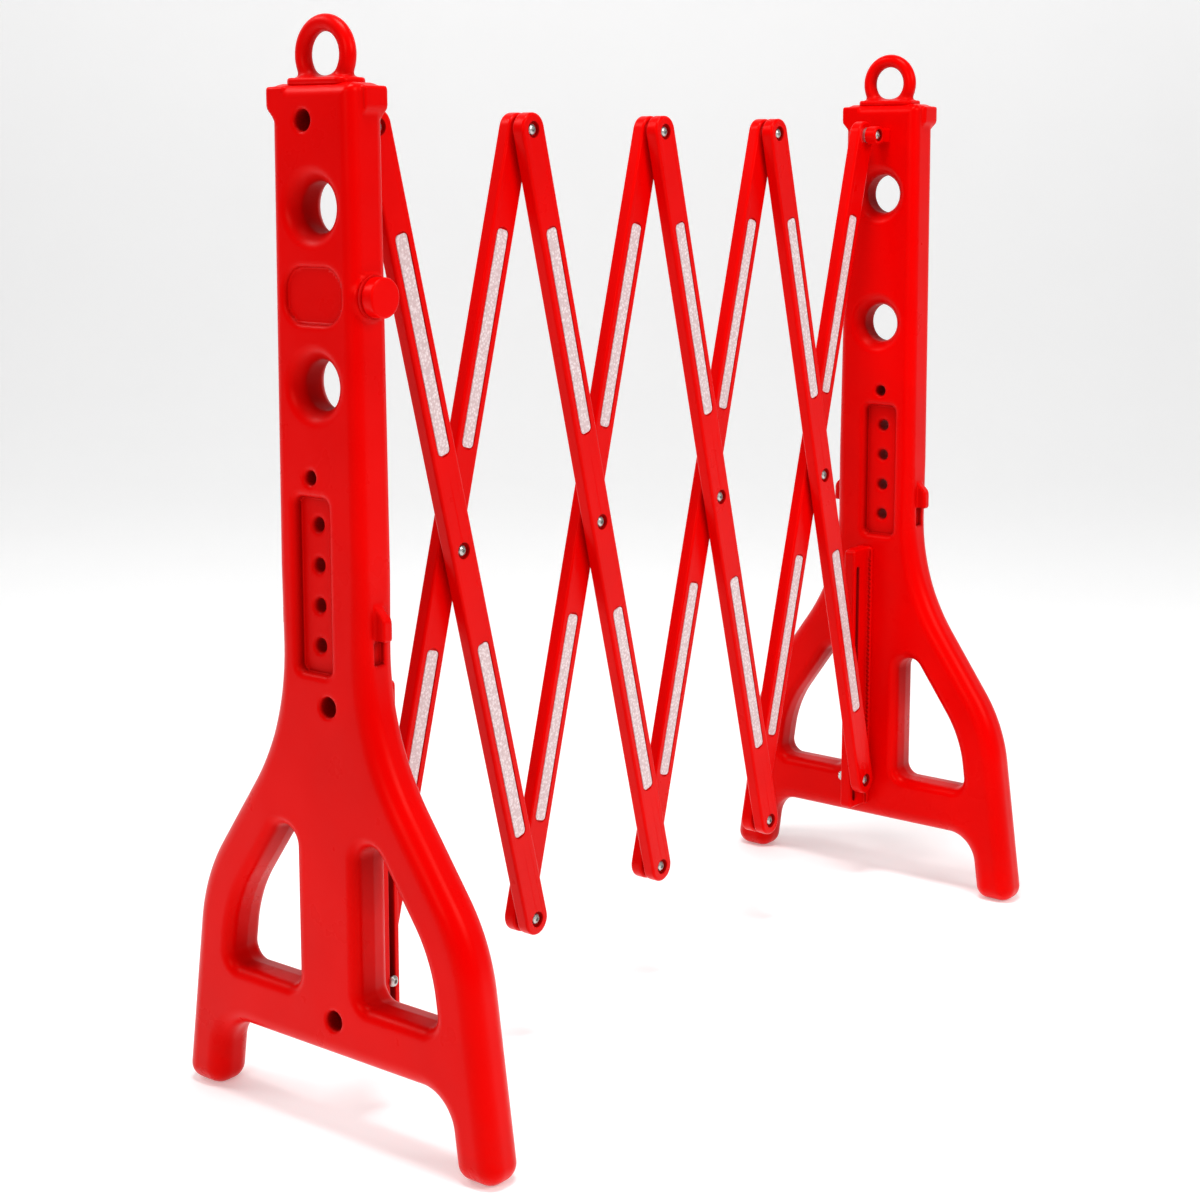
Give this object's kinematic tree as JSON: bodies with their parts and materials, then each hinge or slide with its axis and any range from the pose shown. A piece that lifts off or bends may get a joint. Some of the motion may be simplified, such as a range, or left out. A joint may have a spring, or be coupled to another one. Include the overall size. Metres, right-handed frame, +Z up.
{
  "type": "expanding scissor barrier",
  "caption": "Folding barrier: two hollow plastic end panels with feet, rings and hand holes, joined by a lattice of crossed bars with reflective strips.",
  "frame": {"origin": "on the floor under the middle of the barrier", "axes": "+X along the barrier from the left to the right panel, +Y from the screw-head side to the nut side, +Z up"},
  "size_m": [0.9682, 0.3914, 0.994],
  "materials": {
    "red_plastic": "glossy blow-moulded polyethylene",
    "reflective": "white retroreflective sheeting",
    "zinc": "zinc plated",
    "seal": "matt"
  },
  "bodies": {
    "left_end": {"left_panel": "red_plastic", "left_ring_cap": "red_plastic", "left_pivot_bracket": "red_plastic", "left_guide_rail": "red_plastic", "left_panel_bolts": "zinc"},
    "right_end": {"right_panel": "red_plastic", "right_ring_cap": "red_plastic", "right_pivot_bracket": "red_plastic", "right_guide_rail": "red_plastic", "right_panel_bolts": "zinc", "bracket_screw": "zinc", "bracket_nut": "zinc", "bracket_washer": "zinc"},
    "left_filler": {"left_filler_cap": "red_plastic", "left_filler_seal": "seal"},
    "right_filler": {"right_filler_cap": "red_plastic", "right_filler_seal": "seal"},
    "front_link_1": {"front_bar_1": "red_plastic", "front_strips_1": "reflective", "front_screws_1": "zinc", "front_nuts_1": "zinc", "front_washers_1": "zinc"},
    "rear_link_1": {"rear_bar_1": "red_plastic", "rear_strips_1": "reflective", "slider_screw": "zinc", "slider_nut": "zinc", "slider_washer": "zinc"},
    "front_link_2": {"front_bar_2": "red_plastic", "front_strips_2": "reflective", "front_screws_2": "zinc", "front_nuts_2": "zinc", "front_washers_2": "zinc"},
    "rear_link_2": {"rear_bar_2": "red_plastic", "rear_strips_2": "reflective"},
    "front_link_3": {"front_bar_3": "red_plastic", "front_strips_3": "reflective", "front_screws_3": "zinc", "front_nuts_3": "zinc", "front_washers_3": "zinc"},
    "rear_link_3": {"rear_bar_3": "red_plastic", "rear_strips_3": "reflective"},
    "front_link_4": {"front_bar_4": "red_plastic", "front_strips_4": "reflective", "front_screws_4": "zinc", "front_nuts_4": "zinc", "front_washers_4": "zinc"},
    "rear_link_4": {"rear_bar_4": "red_plastic", "rear_strips_4": "reflective"}
  },
  "joints": [
    {"name": "fold", "type": "hinge", "parent": "left_end", "child": "front_link_1", "pos_m": [-0.41408, 0, 0.9], "axis": [0, -1, 0], "range_deg": [-11, 35]},
    {"name": "cross_1", "type": "hinge", "parent": "front_link_1", "child": "rear_link_1", "pos_m": [-0.31056, 0, 0.51365], "axis": [0, -1, 0], "range_deg": [-70, 22]},
    {"name": "top_1", "type": "hinge", "parent": "rear_link_1", "child": "front_link_2", "pos_m": [-0.20704, 0, 0.9], "axis": [0, -1, 0], "range_deg": [-22, 70]},
    {"name": "cross_2", "type": "hinge", "parent": "front_link_2", "child": "rear_link_2", "pos_m": [-0.10352, 0, 0.51365], "axis": [0, -1, 0], "range_deg": [-70, 22]},
    {"name": "top_2", "type": "hinge", "parent": "rear_link_2", "child": "front_link_3", "pos_m": [0, 0, 0.9], "axis": [0, -1, 0], "range_deg": [-22, 70]},
    {"name": "cross_3", "type": "hinge", "parent": "front_link_3", "child": "rear_link_3", "pos_m": [0.10352, 0, 0.51365], "axis": [0, -1, 0], "range_deg": [-70, 22]},
    {"name": "top_3", "type": "hinge", "parent": "rear_link_3", "child": "front_link_4", "pos_m": [0.20704, 0, 0.9], "axis": [0, -1, 0], "range_deg": [-22, 70]},
    {"name": "cross_4", "type": "hinge", "parent": "front_link_4", "child": "rear_link_4", "pos_m": [0.31056, 0, 0.51365], "axis": [0, -1, 0], "range_deg": [-70, 22]},
    {"name": "right_pivot", "type": "hinge", "parent": "rear_link_4", "child": "right_end", "pos_m": [0.41408, 0, 0.9], "axis": [0, -1, 0], "range_deg": [-11, 35]},
    {"name": "left_filler_pull", "type": "slide", "parent": "left_end", "child": "left_filler", "axis": [0, -1, 0], "range_m": [0, 0.03]},
    {"name": "right_filler_pull", "type": "slide", "parent": "right_end", "child": "right_filler", "axis": [0, 1, 0], "range_m": [0, 0.03]}
  ],
  "couplings": [
    {"joint": "cross_1", "follows": "fold", "ratio": -2},
    {"joint": "top_1", "follows": "fold", "ratio": 2},
    {"joint": "cross_2", "follows": "fold", "ratio": -2},
    {"joint": "top_2", "follows": "fold", "ratio": 2},
    {"joint": "cross_3", "follows": "fold", "ratio": -2},
    {"joint": "top_3", "follows": "fold", "ratio": 2},
    {"joint": "cross_4", "follows": "fold", "ratio": -2},
    {"joint": "right_pivot", "follows": "fold", "ratio": 1}
  ]
}
